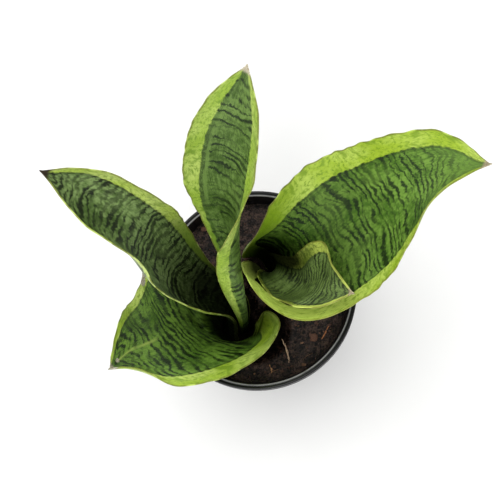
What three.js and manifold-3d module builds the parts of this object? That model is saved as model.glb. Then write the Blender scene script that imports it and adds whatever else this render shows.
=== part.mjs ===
// Potted snake plant: five leaves in two shoots, potting soil, a nursery pot and the litter on the soil.
// Millimetres, +Z up. The origin is on the pot's axis, at the underside of its base.
import * as THREE from 'three';
import { mergeVertices } from 'three/addons/utils/BufferGeometryUtils.js';
import Module from 'manifold-3d';

const wasm = await Module();
wasm.setup();

// ---- Driving dimensions ----
const POT_HEIGHT = 105;
const POT_RIM_RADIUS = 60;
const POT_BASE_RADIUS = 43;
const POT_WALL = 1.4;
const POT_FLOOR = 1.8;
const POT_FOOT_BEVEL = 1.5;
const RIM_WIDTH = 3.4;
const RIM_THICKNESS = 2;
const RIM_ROUNDING = 0.8;
const SKIRT_DROP = 11;
const SKIRT_WALL = 1.4;
const ROUND_SEGMENTS = 64;

const DRAIN_HOLES = 6;
const DRAIN_RADIUS = 4.5;
// Solid floor between a drainage hole and the outside of the base.
const DRAIN_EDGE_DISTANCE = 7.5;
const DRAIN_SEGMENTS = 24;

const SOIL_BELOW_RIM = 12;
const SOIL_BUMP = 0.9;
const SOIL_RINGS = 10;

const LEAF_THICKNESS = 1.4;
const MARGIN_THICKNESS_SHARE = 0.5;
const LEAF_STEPS = 32;
const LEAF_STRIPS = 12;
// The upper face of a leaf looks this far above the horizontal.
const FACE_ELEVATION = THREE.MathUtils.degToRad(35);
// The pocket a shoot stands in lies this far inside its outer leaf's middle surface, and
// reaches this share of the leaf's length up from its foot, which is just above the soil.
const POCKET_INSET = 0.2;
const POCKET_REACH = 0.14;

const FIBRE_RADIUS = 0.35;

// Clearances that keep neighbouring pieces apart.
const SOIL_GAP = 0.3;
const LEAF_GAP = 0.3;
const LITTER_GAP = 0.3;

// ---- Sizes that follow from them ----
const SOIL_LEVEL = POT_HEIGHT - SOIL_BELOW_RIM;
const SKIRT_FOOT = POT_HEIGHT - SKIRT_DROP;
const RIM_INNER_RADIUS = POT_RIM_RADIUS - RIM_WIDTH;
const SHOULDER_RADIUS = RIM_INNER_RADIUS + POT_WALL;
const DRAIN_RING_RADIUS = POT_BASE_RADIUS - DRAIN_EDGE_DISTANCE - DRAIN_RADIUS;

// Outer radius of the tapering pot wall at a height.
function potOuterRadius(z) {
  return POT_BASE_RADIUS + (SHOULDER_RADIUS - POT_BASE_RADIUS) * (z / POT_HEIGHT);
}

function potInnerRadius(z) {
  return potOuterRadius(z) - POT_WALL;
}

// Outer radius of the soil at a height.
function soilRadius(z) {
  return potInnerRadius(z) - SOIL_GAP;
}

// ---- Leaves ----
// The stations below hold for a pot of this rim radius; the plant's spread follows the pot's.
const STATION_RIM_RADIUS = 60;
const PLANT_SPREAD = POT_RIM_RADIUS / STATION_RIM_RADIUS;
// A station's x, y and half width spread; its height and the other values stay.
const SPREAD_VALUES = [0, 1, 3];

// Each leaf is a list of stations, evenly spaced from its base to its tip:
// [x, y, height above the soil, half width along the surface, curl, facing, midrib offset].
// Curl is the angle in degrees that the cross-section's arc turns through, facing is the
// compass angle in degrees that the upper face looks towards, and the midrib offset moves
// more of the width to the left margin. The base stations lie below the soil surface.
const LEAVES = {
  leaf_broad_right: [
    [17, 7, -9, 15, 300, 160, 0],
    [17, 10, 21, 22, 327, 162, 0],
    [18, 9, 51, 37, 335, 178, 0],
    [37.5, 8.5, 74, 44.5, 152, 200, 0],
    [66.5, 25, 93.5, 41, 65, 193, 0.08],
    [96, 42.5, 131, 25, 91, 180, 0],
    [122, 41, 157, 0.7, 53, 131, 0],
  ],
  leaf_young_right: [
    [14.5, 8, -9, 7, 240, 160, 0],
    [13.5, 10.5, 21, 10, 232, 156, 0],
    [14, 4, 55, 13, 202, 154, 0],
    [26, -7, 72, 20, 165, 142, 0],
    [38, -7, 91, 22.5, 110, 151, 0],
    [44.5, -11, 102, 13.5, 85, 173, 0],
    [55, -16, 112, 0.7, 80, 180, 0],
  ],
  leaf_tall_centre: [
    [-7.5, -23, -9, 5, 300, 158, 0],
    [-5, -19.5, 25, 6.5, 275, 147, 0],
    [-5.5, -3, 63, 14, 230, 148, 0],
    [-6, 23, 103, 24, 178, 182, 0],
    [-8, 47, 138, 24, 125, 237, 0],
    [-1, 64, 175, 19, 110, 242, 0],
    [6, 77, 208, 0.7, 40, 240, 0],
  ],
  leaf_long_left: [
    [-16.5, -21, -9, 12, 210, 352, -0.1],
    [-19, -11.5, 19, 15, 205, 368, -0.2],
    [-38, -5.5, 46, 23, 163, 372, 0],
    [-53, 9, 77, 27, 118, 361, 0],
    [-64.5, 22.5, 105, 25, 162, 345, 0],
    [-84.5, 35, 133, 19, 149, 332, 0],
    [-99.5, 40, 158, 0.7, 120, 345, 0],
  ],
  leaf_short_front: [
    [-17.5, -27, -9, 21, 250, 35, 0.1],
    [-21.5, -29, 4, 28, 240, 44, 0.17],
    [-22, -32, 14, 44.5, 141, 75, -0.05],
    [-34, -37, 33, 52.5, 76, 78, -0.17],
    [-52, -41, 50.5, 39, 36, 67, 0],
    [-65, -46, 63, 21, 56, 51, 0],
    [-76, -52.5, 80, 0.7, 125, 79, 0],
  ],
};

// Smooth curve through the stations at t = 0..1 (uniform Catmull-Rom, straight ends).
function stationAt(stations, t) {
  const last = stations.length - 1;
  const u = Math.min(Math.max(t, 0), 1) * last;
  const i = Math.min(Math.floor(u), last - 1);
  const f = u - i;
  const p1 = stations[i];
  const p2 = stations[i + 1];
  return p1.map((v1, k) => {
    const v2 = p2[k];
    const v0 = i > 0 ? stations[i - 1][k] : 2 * v1 - v2;
    const v3 = i < last - 1 ? stations[i + 2][k] : 2 * v2 - v1;
    const linear = (v2 - v0) * f;
    const square = (2 * v0 - 5 * v1 + 4 * v2 - v3) * f * f;
    const cube = (3 * v1 - v0 - 3 * v2 + v3) * f * f * f;
    const spread = SPREAD_VALUES.includes(k) ? PLANT_SPREAD : 1;
    return 0.5 * spread * (2 * v1 + linear + square + cube);
  });
}

function pointAt(stations, t) {
  const [x, y, rise] = stationAt(stations, t);
  return new THREE.Vector3(x, y, SOIL_LEVEL + rise);
}

// Middle, half width, curl, offset and the frame of the leaf's cross-section at t.
function sectionAt(stations, t) {
  const [, , , half, curl, facing, offset] = stationAt(stations, t);
  const step = 1e-4;
  const ahead = pointAt(stations, Math.min(t + step, 1));
  const behind = pointAt(stations, Math.max(t - step, 0));
  const along = ahead.sub(behind).normalize();
  const compass = THREE.MathUtils.degToRad(facing);
  const flat = Math.cos(FACE_ELEVATION);
  const towards = new THREE.Vector3(
    Math.cos(compass) * flat,
    Math.sin(compass) * flat,
    Math.sin(FACE_ELEVATION),
  );
  const upper = towards.addScaledVector(along, -towards.dot(along)).normalize();
  const right = new THREE.Vector3().crossVectors(along, upper);
  const middle = pointAt(stations, t);
  const bend = THREE.MathUtils.degToRad(Math.max(curl, 1)) / 2;
  return { middle, half, bend, offset, along, upper, right };
}

// Point and upper-face normal of the leaf's middle surface; side runs from -1 to 1.
function leafPoint(section, side) {
  const { middle, half, bend, offset, upper, right } = section;
  const radius = half / bend;
  const angle = bend * (side - offset);
  const point = middle
    .clone()
    .addScaledVector(right, radius * Math.sin(angle))
    .addScaledVector(upper, radius * (1 - Math.cos(angle)));
  const normal = upper
    .clone()
    .multiplyScalar(Math.cos(angle))
    .addScaledVector(right, -Math.sin(angle));
  return { point, normal };
}

// A leaf thins towards its margins.
function leafThickness(side) {
  return LEAF_THICKNESS * (1 - (1 - MARGIN_THICKNESS_SHARE) * Math.abs(side) ** 3);
}

// Closed solid of a leaf. A clearance above zero makes it that much larger all round,
// and lengthens it by as much at its base and tip.
function leafSolid(stations, clearance = 0) {
  const positions = [];
  const faces = [];
  const columns = LEAF_STRIPS + 1;
  const upperId = (row, column) => (row * columns + column) * 2;
  const lowerId = (row, column) => upperId(row, column) + 1;
  for (let row = 0; row <= LEAF_STEPS; row += 1) {
    const section = sectionAt(stations, row / LEAF_STEPS);
    const widening = 1 + clearance / section.half;
    section.half *= widening;
    section.bend *= widening;
    if (row === 0) section.middle.addScaledVector(section.along, -clearance);
    if (row === LEAF_STEPS) section.middle.addScaledVector(section.along, clearance);
    for (let column = 0; column < columns; column += 1) {
      const side = (2 * column) / LEAF_STRIPS - 1;
      const { point, normal } = leafPoint(section, side);
      const reach = leafThickness(side) / 2 + clearance;
      const top = point.clone().addScaledVector(normal, reach);
      const bottom = point.clone().addScaledVector(normal, -reach);
      positions.push(top.x, top.y, top.z, bottom.x, bottom.y, bottom.z);
    }
  }
  const quad = (a, b, c, d) => faces.push(a, b, c, a, c, d);
  for (let row = 0; row < LEAF_STEPS; row += 1) {
    const next = row + 1;
    for (let column = 0; column < LEAF_STRIPS; column += 1) {
      const beside = column + 1;
      quad(upperId(row, column), upperId(row, beside), upperId(next, beside), upperId(next, column));
      quad(lowerId(row, column), lowerId(next, column), lowerId(next, beside), lowerId(row, beside));
    }
    const edge = LEAF_STRIPS;
    quad(upperId(row, 0), upperId(next, 0), lowerId(next, 0), lowerId(row, 0));
    quad(upperId(row, edge), lowerId(row, edge), lowerId(next, edge), upperId(next, edge));
  }
  for (let column = 0; column < LEAF_STRIPS; column += 1) {
    const beside = column + 1;
    const tip = LEAF_STEPS;
    quad(upperId(0, column), lowerId(0, column), lowerId(0, beside), upperId(0, beside));
    quad(upperId(tip, column), upperId(tip, beside), lowerId(tip, beside), lowerId(tip, column));
  }
  return solidFrom(positions, faces);
}

// ---- Solids ----
// Makes a solid whose faces point outwards.
function solidFrom(positions, faces) {
  const build = (triVerts) => new wasm.Manifold(new wasm.Mesh({
    numProp: 3,
    vertProperties: Float32Array.from(positions),
    triVerts: Uint32Array.from(triVerts),
  }));
  const made = build(faces);
  if (made.volume() > 0) return made;
  const turned = [];
  for (let i = 0; i < faces.length; i += 3) {
    turned.push(faces[i], faces[i + 2], faces[i + 1]);
  }
  return build(turned);
}

function solidFromGeometry(geometry) {
  const bare = new THREE.BufferGeometry();
  bare.setAttribute('position', geometry.getAttribute('position'));
  bare.setIndex(geometry.index);
  const merged = mergeVertices(bare, 1e-3);
  const faces = [];
  const ids = merged.index.array;
  for (let i = 0; i < ids.length; i += 3) {
    const [a, b, c] = [ids[i], ids[i + 1], ids[i + 2]];
    if (a !== b && b !== c && c !== a) faces.push(a, b, c);
  }
  return solidFrom(Array.from(merged.getAttribute('position').array), faces);
}

// Solid of revolution about +Z from [radius, height] pairs that start and end on the axis.
function turned(profile) {
  const points = profile.map(([radius, z]) => new THREE.Vector2(radius, z));
  const geometry = new THREE.LatheGeometry(points, ROUND_SEGMENTS);
  geometry.rotateX(Math.PI / 2);
  return solidFromGeometry(geometry);
}

function upright(radius, bottom, top, x, y) {
  const geometry = new THREE.CylinderGeometry(radius, radius, top - bottom, DRAIN_SEGMENTS);
  geometry.rotateX(Math.PI / 2);
  geometry.translate(x, y, (top + bottom) / 2);
  return solidFromGeometry(geometry);
}

// ---- Pot ----
// Tapering wall, flat rim rounded at its edges, and a skirt that hangs from the rim.
function potSolid() {
  const skirtInner = POT_RIM_RADIUS - SKIRT_WALL;
  const underRim = POT_HEIGHT - RIM_THICKNESS;
  const shell = turned([
    [0, 0],
    [POT_BASE_RADIUS - POT_FOOT_BEVEL, 0],
    [potOuterRadius(POT_FOOT_BEVEL), POT_FOOT_BEVEL],
    [potOuterRadius(underRim), underRim],
    [skirtInner, underRim],
    [skirtInner, SKIRT_FOOT],
    [POT_RIM_RADIUS, SKIRT_FOOT],
    [POT_RIM_RADIUS, POT_HEIGHT - RIM_ROUNDING],
    [POT_RIM_RADIUS - RIM_ROUNDING, POT_HEIGHT],
    [RIM_INNER_RADIUS + RIM_ROUNDING, POT_HEIGHT],
    [RIM_INNER_RADIUS, POT_HEIGHT - RIM_ROUNDING],
    [potInnerRadius(POT_FLOOR), POT_FLOOR],
    [0, POT_FLOOR],
  ]);
  let drained = shell;
  for (let i = 0; i < DRAIN_HOLES; i += 1) {
    const angle = (2 * Math.PI * (i + 0.5)) / DRAIN_HOLES;
    const x = DRAIN_RING_RADIUS * Math.cos(angle);
    const y = DRAIN_RING_RADIUS * Math.sin(angle);
    drained = drained.subtract(upright(DRAIN_RADIUS, -1, POT_FLOOR + 1, x, y));
  }
  return drained;
}

// ---- Soil ----
// Height of the soil surface: two sets of shallow waves over a slight mound at the shoots.
function soilTop(x, y) {
  const waves = Math.sin(x * 0.31 + 1.1) * Math.cos(y * 0.27 - 0.6);
  const ripple = Math.sin(x * 0.83 + y * 0.61) * Math.cos(y * 0.74 - x * 0.36 + 2);
  const mound = 1 - (x * x + y * y) / (POT_RIM_RADIUS * POT_RIM_RADIUS);
  return SOIL_LEVEL + SOIL_BUMP * (0.7 * waves + 0.4 * ripple + mound - 1);
}

// The outer leaves of the two shoots, each standing round a pocket in the soil.
const OUTER_LEAVES = ['leaf_broad_right', 'leaf_short_front'];

// The space enclosed by an outer leaf, from its foot to above the soil.
function pocketSolid(outer) {
  const positions = [];
  const faces = [];
  const rows = 5;
  const around = 32;
  const stations = LEAVES[outer];
  for (let row = 0; row <= rows; row += 1) {
    const section = sectionAt(stations, (POCKET_REACH * row) / rows);
    const leafRadius = section.half / section.bend;
    const radius = leafRadius - POCKET_INSET;
    const centre = section.middle.clone().addScaledVector(section.upper, leafRadius);
    for (let i = 0; i < around; i += 1) {
      const angle = (2 * Math.PI * i) / around;
      const point = centre
        .clone()
        .addScaledVector(section.upper, -radius * Math.cos(angle))
        .addScaledVector(section.right, radius * Math.sin(angle));
      if (row === 0) point.z -= SOIL_GAP;
      positions.push(point.x, point.y, point.z);
    }
  }
  for (let row = 0; row < rows; row += 1) {
    for (let i = 0; i < around; i += 1) {
      const a = row * around + i;
      const b = row * around + ((i + 1) % around);
      faces.push(a, b, b + around, a, b + around, a + around);
    }
  }
  const topRow = rows * around;
  for (let i = 1; i < around - 1; i += 1) {
    faces.push(0, i + 1, i);
    faces.push(topRow, topRow + i, topRow + i + 1);
  }
  return solidFrom(positions, faces);
}

function soilSolid() {
  const positions = [];
  const faces = [];
  const foot = POT_FLOOR + SOIL_GAP;
  const edge = soilRadius(SOIL_LEVEL);
  const footEdge = soilRadius(foot);
  positions.push(0, 0, soilTop(0, 0));
  const ringId = (ring, i) => 1 + (ring - 1) * ROUND_SEGMENTS + (i % ROUND_SEGMENTS);
  for (let ring = 1; ring <= SOIL_RINGS; ring += 1) {
    for (let i = 0; i < ROUND_SEGMENTS; i += 1) {
      const angle = (2 * Math.PI * i) / ROUND_SEGMENTS;
      const x = (edge * ring * Math.cos(angle)) / SOIL_RINGS;
      const y = (edge * ring * Math.sin(angle)) / SOIL_RINGS;
      positions.push(x, y, ring === SOIL_RINGS ? SOIL_LEVEL - SOIL_BUMP : soilTop(x, y));
    }
  }
  const footStart = positions.length / 3;
  for (let i = 0; i < ROUND_SEGMENTS; i += 1) {
    const angle = (2 * Math.PI * i) / ROUND_SEGMENTS;
    positions.push(footEdge * Math.cos(angle), footEdge * Math.sin(angle), foot);
  }
  const footCentre = positions.length / 3;
  positions.push(0, 0, foot);
  for (let i = 0; i < ROUND_SEGMENTS; i += 1) {
    const next = (i + 1) % ROUND_SEGMENTS;
    faces.push(0, ringId(1, i), ringId(1, next));
    for (let ring = 1; ring < SOIL_RINGS; ring += 1) {
      faces.push(ringId(ring, i), ringId(ring + 1, i), ringId(ring + 1, next));
      faces.push(ringId(ring, i), ringId(ring + 1, next), ringId(ring, next));
    }
    faces.push(ringId(SOIL_RINGS, i), footStart + i, footStart + next);
    faces.push(ringId(SOIL_RINGS, i), footStart + next, ringId(SOIL_RINGS, next));
    faces.push(footStart + i, footCentre, footStart + next);
  }
  let soil = solidFrom(positions, faces);
  for (const outer of OUTER_LEAVES) soil = soil.subtract(pocketSolid(outer));
  for (const stations of Object.values(LEAVES)) {
    soil = soil.subtract(leafSolid(stations, SOIL_GAP));
  }
  return soil;
}

// ---- Litter on the soil ----
// Places are [x, y] as shares of the soil's radius, so the litter stays inside the pot.
function litterPlace([u, v]) {
  const edge = soilRadius(SOIL_LEVEL);
  return [u * edge, v * edge];
}

// A thin round strand laid over the soil through the places.
function strandSolid(places) {
  const lift = FIBRE_RADIUS + LITTER_GAP + SOIL_BUMP / 2;
  const points = places.map((place) => {
    const [x, y] = litterPlace(place);
    return new THREE.Vector3(x, y, soilTop(x, y) + lift);
  });
  const path = new THREE.CatmullRomCurve3(points);
  const circle = new THREE.Shape();
  circle.absarc(0, 0, FIBRE_RADIUS, 0, 2 * Math.PI, false);
  const geometry = new THREE.ExtrudeGeometry(circle, {
    extrudePath: path,
    steps: 12,
    curveSegments: 4,
  });
  return solidFromGeometry(geometry);
}

// A flat bark chip with an uneven outline, turned by an angle in degrees.
function chipSolid({ place, length, width, thick, turn }) {
  const [x, y] = litterPlace(place);
  const outline = [[-0.5, -0.2], [-0.1, -0.5], [0.4, -0.35], [0.5, 0.1], [0.15, 0.5], [-0.35, 0.35]];
  const shape = new THREE.Shape(outline.map(([u, v]) => new THREE.Vector2(u * length, v * width)));
  const geometry = new THREE.ExtrudeGeometry(shape, { depth: thick, bevelEnabled: false });
  geometry.rotateZ(THREE.MathUtils.degToRad(turn));
  const samples = outline.map(([u, v]) => soilTop(x + u * length, y + v * width));
  const rest = Math.max(...samples, soilTop(x, y)) + LITTER_GAP;
  geometry.translate(x, y, rest);
  return solidFromGeometry(geometry);
}

// ---- Assembly ----
const COLOURS = {
  pot: { color: 0x17181a, roughness: 0.45 },
  soil: { color: 0x2b211c, roughness: 0.95 },
  leaf: { color: 0x5f9a35, roughness: 0.45 },
  bark: { color: 0x8a4f2c, roughness: 0.9 },
  fibre: { color: 0xb08a66, roughness: 0.9 },
};

const group = new THREE.Group();
group.name = 'potted_snake_plant';

function addPiece(name, solid, look) {
  const mesh = solid.getMesh();
  const geometry = new THREE.BufferGeometry();
  geometry.setAttribute('position', new THREE.BufferAttribute(Float32Array.from(mesh.vertProperties), 3));
  geometry.setIndex(Array.from(mesh.triVerts));
  geometry.computeVertexNormals();
  const material = new THREE.MeshStandardMaterial({ ...COLOURS[look], metalness: 0 });
  const piece = new THREE.Mesh(geometry, material);
  piece.name = name;
  group.add(piece);
}

addPiece('pot', potSolid(), 'pot');
addPiece('potting_soil', soilSolid(), 'soil');

// Each leaf keeps clear of the ones that grow inside it or press against it.
const HELD_CLEAR_OF = {
  leaf_broad_right: ['leaf_young_right'],
  leaf_young_right: [],
  leaf_tall_centre: [],
  leaf_long_left: ['leaf_tall_centre'],
  leaf_short_front: ['leaf_long_left', 'leaf_tall_centre'],
};

for (const [name, stations] of Object.entries(LEAVES)) {
  let leaf = leafSolid(stations);
  for (const neighbour of HELD_CLEAR_OF[name]) {
    leaf = leaf.subtract(leafSolid(LEAVES[neighbour], LEAF_GAP));
  }
  addPiece(name, leaf, 'leaf');
}

const FIBRES = {
  fibre_pale: [[0.27, -0.53], [0.31, -0.62], [0.34, -0.73], [0.35, -0.79]],
  fibre_orange: [[0.79, -0.38], [0.75, -0.46], [0.71, -0.53]],
  fibre_short: [[0.13, -0.81], [0.15, -0.85], [0.16, -0.9]],
};

const BARK_CHIPS = {
  bark_chip_back: { place: [-0.6, 0.71], length: 5, width: 3, thick: 1, turn: 25 },
  bark_chip_right: { place: [0.62, -0.51], length: 6, width: 4, thick: 1.2, turn: 60 },
};

for (const [name, places] of Object.entries(FIBRES)) addPiece(name, strandSolid(places), 'fibre');
for (const [name, chip] of Object.entries(BARK_CHIPS)) addPiece(name, chipSolid(chip), 'bark');

export default group;
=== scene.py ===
import math
import random

import bmesh
import bpy
import numpy as np
from mathutils import Matrix, Vector, noise
from mathutils.kdtree import KDTree


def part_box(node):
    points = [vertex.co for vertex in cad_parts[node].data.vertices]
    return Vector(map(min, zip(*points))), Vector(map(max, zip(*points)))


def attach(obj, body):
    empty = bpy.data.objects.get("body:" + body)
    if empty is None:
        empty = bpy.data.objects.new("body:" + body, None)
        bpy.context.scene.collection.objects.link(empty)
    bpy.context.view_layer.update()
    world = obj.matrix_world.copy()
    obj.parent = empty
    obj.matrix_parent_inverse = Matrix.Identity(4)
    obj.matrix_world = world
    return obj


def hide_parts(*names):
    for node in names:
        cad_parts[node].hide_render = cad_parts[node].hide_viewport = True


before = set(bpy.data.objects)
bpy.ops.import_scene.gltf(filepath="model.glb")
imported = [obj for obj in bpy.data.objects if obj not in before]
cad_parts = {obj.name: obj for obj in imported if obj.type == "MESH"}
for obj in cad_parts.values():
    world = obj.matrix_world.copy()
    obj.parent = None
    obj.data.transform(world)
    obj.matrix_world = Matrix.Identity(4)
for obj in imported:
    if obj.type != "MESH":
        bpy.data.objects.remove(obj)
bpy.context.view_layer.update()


MM = 0.001

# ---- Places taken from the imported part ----
POT_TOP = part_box("pot")[1]
RIM_RADIUS = POT_TOP.x
RIM_HEIGHT = POT_TOP.z

# ---- Sizes shared with part.mjs, in millimetres ----
POT_BASE_RADIUS = 43
POT_WALL = 1.4
POT_FLOOR = 1.8
RIM_WIDTH = 3.4
RIM_THICKNESS = 2
SKIRT_DROP = 11
SKIRT_WALL = 1.4
DRAIN_HOLES = 6
DRAIN_RADIUS = 4.5
DRAIN_RING_RADIUS = 31
SOIL_BELOW_RIM = 12
SOIL_BUMP = 0.9
LEAF_THICKNESS = 1.4
MARGIN_THICKNESS_SHARE = 0.5
FACE_ELEVATION = math.radians(35)

RIM_MM = RIM_RADIUS / MM
HEIGHT_MM = RIM_HEIGHT / MM
SOIL_LEVEL = HEIGHT_MM - SOIL_BELOW_RIM
SHOULDER_RADIUS = RIM_MM - RIM_WIDTH + POT_WALL


def pot_outer_radius(z):
    return POT_BASE_RADIUS + (SHOULDER_RADIUS - POT_BASE_RADIUS) * z / HEIGHT_MM


SOIL_RADIUS = pot_outer_radius(SOIL_LEVEL) - POT_WALL

# Stations of each leaf, as in part.mjs: x, y, height above the soil, half width, curl,
# facing and midrib offset, evenly spaced from the foot to the tip.
STATIONS = {
    "leaf_broad_right": [
        [17, 7, -9, 15, 300, 160, 0],
        [17, 10, 21, 22, 327, 162, 0],
        [18, 9, 51, 37, 335, 178, 0],
        [37.5, 8.5, 74, 44.5, 152, 200, 0],
        [66.5, 25, 93.5, 41, 65, 193, 0.08],
        [96, 42.5, 131, 25, 91, 180, 0],
        [122, 41, 157, 0.7, 53, 131, 0],
    ],
    "leaf_young_right": [
        [14.5, 8, -9, 7, 240, 160, 0],
        [13.5, 10.5, 21, 10, 232, 156, 0],
        [14, 4, 55, 13, 202, 154, 0],
        [26, -7, 72, 20, 165, 142, 0],
        [38, -7, 91, 22.5, 110, 151, 0],
        [44.5, -11, 102, 13.5, 85, 173, 0],
        [55, -16, 112, 0.7, 80, 180, 0],
    ],
    "leaf_tall_centre": [
        [-7.5, -23, -9, 5, 300, 158, 0],
        [-5, -19.5, 25, 6.5, 275, 147, 0],
        [-5.5, -3, 63, 14, 230, 148, 0],
        [-6, 23, 103, 24, 178, 182, 0],
        [-8, 47, 138, 24, 125, 237, 0],
        [-1, 64, 175, 19, 110, 242, 0],
        [6, 77, 208, 0.7, 40, 240, 0],
    ],
    "leaf_long_left": [
        [-16.5, -21, -9, 12, 210, 352, -0.1],
        [-19, -11.5, 19, 15, 205, 368, -0.2],
        [-38, -5.5, 46, 23, 163, 372, 0],
        [-53, 9, 77, 27, 118, 361, 0],
        [-64.5, 22.5, 105, 25, 162, 345, 0],
        [-84.5, 35, 133, 19, 149, 332, 0],
        [-99.5, 40, 158, 0.7, 120, 345, 0],
    ],
    "leaf_short_front": [
        [-17.5, -27, -9, 21, 250, 35, 0.1],
        [-21.5, -29, 4, 28, 240, 44, 0.17],
        [-22, -32, 14, 44.5, 141, 75, -0.05],
        [-34, -37, 33, 52.5, 76, 78, -0.17],
        [-52, -41, 50.5, 39, 36, 67, 0],
        [-65, -46, 63, 21, 56, 51, 0],
        [-76, -52.5, 80, 0.7, 125, 79, 0],
    ],
}


# ---- Leaf geometry ----
def stations_at(stations, t):
    """Uniform Catmull-Rom through the stations, with straight ends, at each t from 0 to 1."""
    s = np.array(stations, float)
    padded = np.vstack([2 * s[0] - s[1], s, 2 * s[-1] - s[-2]])
    u = np.clip(t, 0, 1) * (len(s) - 1)
    i = np.minimum(u.astype(int), len(s) - 2)
    f = (u - i)[:, None]
    p0, p1, p2, p3 = padded[i], padded[i + 1], padded[i + 2], padded[i + 3]
    linear = (p2 - p0) * f
    square = (2 * p0 - 5 * p1 + 4 * p2 - p3) * f ** 2
    cube = (3 * p1 - p0 - 3 * p2 + p3) * f ** 3
    return 0.5 * (2 * p1 + linear + square + cube)


def unit(v):
    return v / np.linalg.norm(v, axis=-1, keepdims=True)


class Sections:
    """The leaf's cross-sections at each t, in millimetres."""

    def __init__(self, stations, t):
        values = stations_at(stations, t)
        step = 1e-4
        ahead = stations_at(stations, np.minimum(t + step, 1))
        behind = stations_at(stations, np.maximum(t - step, 0))
        self.t = t
        self.middle = values[:, :3] + [0, 0, SOIL_LEVEL]
        self.half = values[:, 3]
        self.bend = np.radians(np.maximum(values[:, 4], 1)) / 2
        self.offset = values[:, 6]
        self.along = unit((ahead - behind)[:, :3])
        compass = np.radians(values[:, 5])
        flat = math.cos(FACE_ELEVATION)
        towards = np.stack([
            np.cos(compass) * flat,
            np.sin(compass) * flat,
            np.full(len(t), math.sin(FACE_ELEVATION)),
        ], 1)
        across = (towards * self.along).sum(1, keepdims=True)
        self.upper = unit(towards - across * self.along)
        self.right = np.cross(self.along, self.upper)
        steps = np.linalg.norm(np.diff(self.middle, axis=0), axis=1)
        self.length = np.concatenate([[0], np.cumsum(steps)])

    def sheet(self, side):
        """Points, upper-face normals and directions to the right at side, an array of t by columns."""
        angle = self.bend[:, None] * (side - self.offset[:, None])
        radius = (self.half / self.bend)[:, None, None]
        sin, cos = np.sin(angle)[..., None], np.cos(angle)[..., None]
        right, upper = self.right[:, None], self.upper[:, None]
        points = self.middle[:, None] + radius * (right * sin + upper * (1 - cos))
        return points, upper * cos - right * sin, right * cos + upper * sin


def waves(rng, count, shortest, longest):
    """A smooth random wave of a length in millimetres: returns a function with values about -1 to 1."""
    lengths = np.linspace(shortest, longest, count)
    phases = [rng.uniform(0, 2 * math.pi) for _ in range(count)]

    def at(x):
        total = sum(np.sin(2 * math.pi * x / w + p) for w, p in zip(lengths, phases))
        return total / count ** 0.5 / 1.2

    return at


LEAF_ROWS = 300
LEAF_COLUMNS = 61
EDGE_POINTS = 3
TIP_RINGS = 7


def spread(low, high, x):
    """Smooth step from 0 at low to 1 at high."""
    f = np.clip((x - low) / (high - low), 0, 1)
    return f * f * (3 - 2 * f)


def mesh_object(name, vertices, faces, material, attributes=()):
    """A smooth-shaded mesh from millimetre vertices, with (name, type, values) point attributes."""
    mesh = bpy.data.meshes.new(name)
    mesh.from_pydata([tuple(v) for v in np.asarray(vertices) * MM], [], faces)
    for label, kind, values in attributes:
        made = mesh.attributes.new(label, kind, "POINT")
        field = "value" if kind == "FLOAT" else "vector"
        made.data.foreach_set(field, np.asarray(values, np.float32).ravel())
    mesh.materials.append(material)
    mesh.polygons.foreach_set("use_smooth", [True] * len(mesh.polygons))
    mesh.update()
    made = bpy.data.objects.new(name, mesh)
    bpy.context.scene.collection.objects.link(made)
    return made


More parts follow.
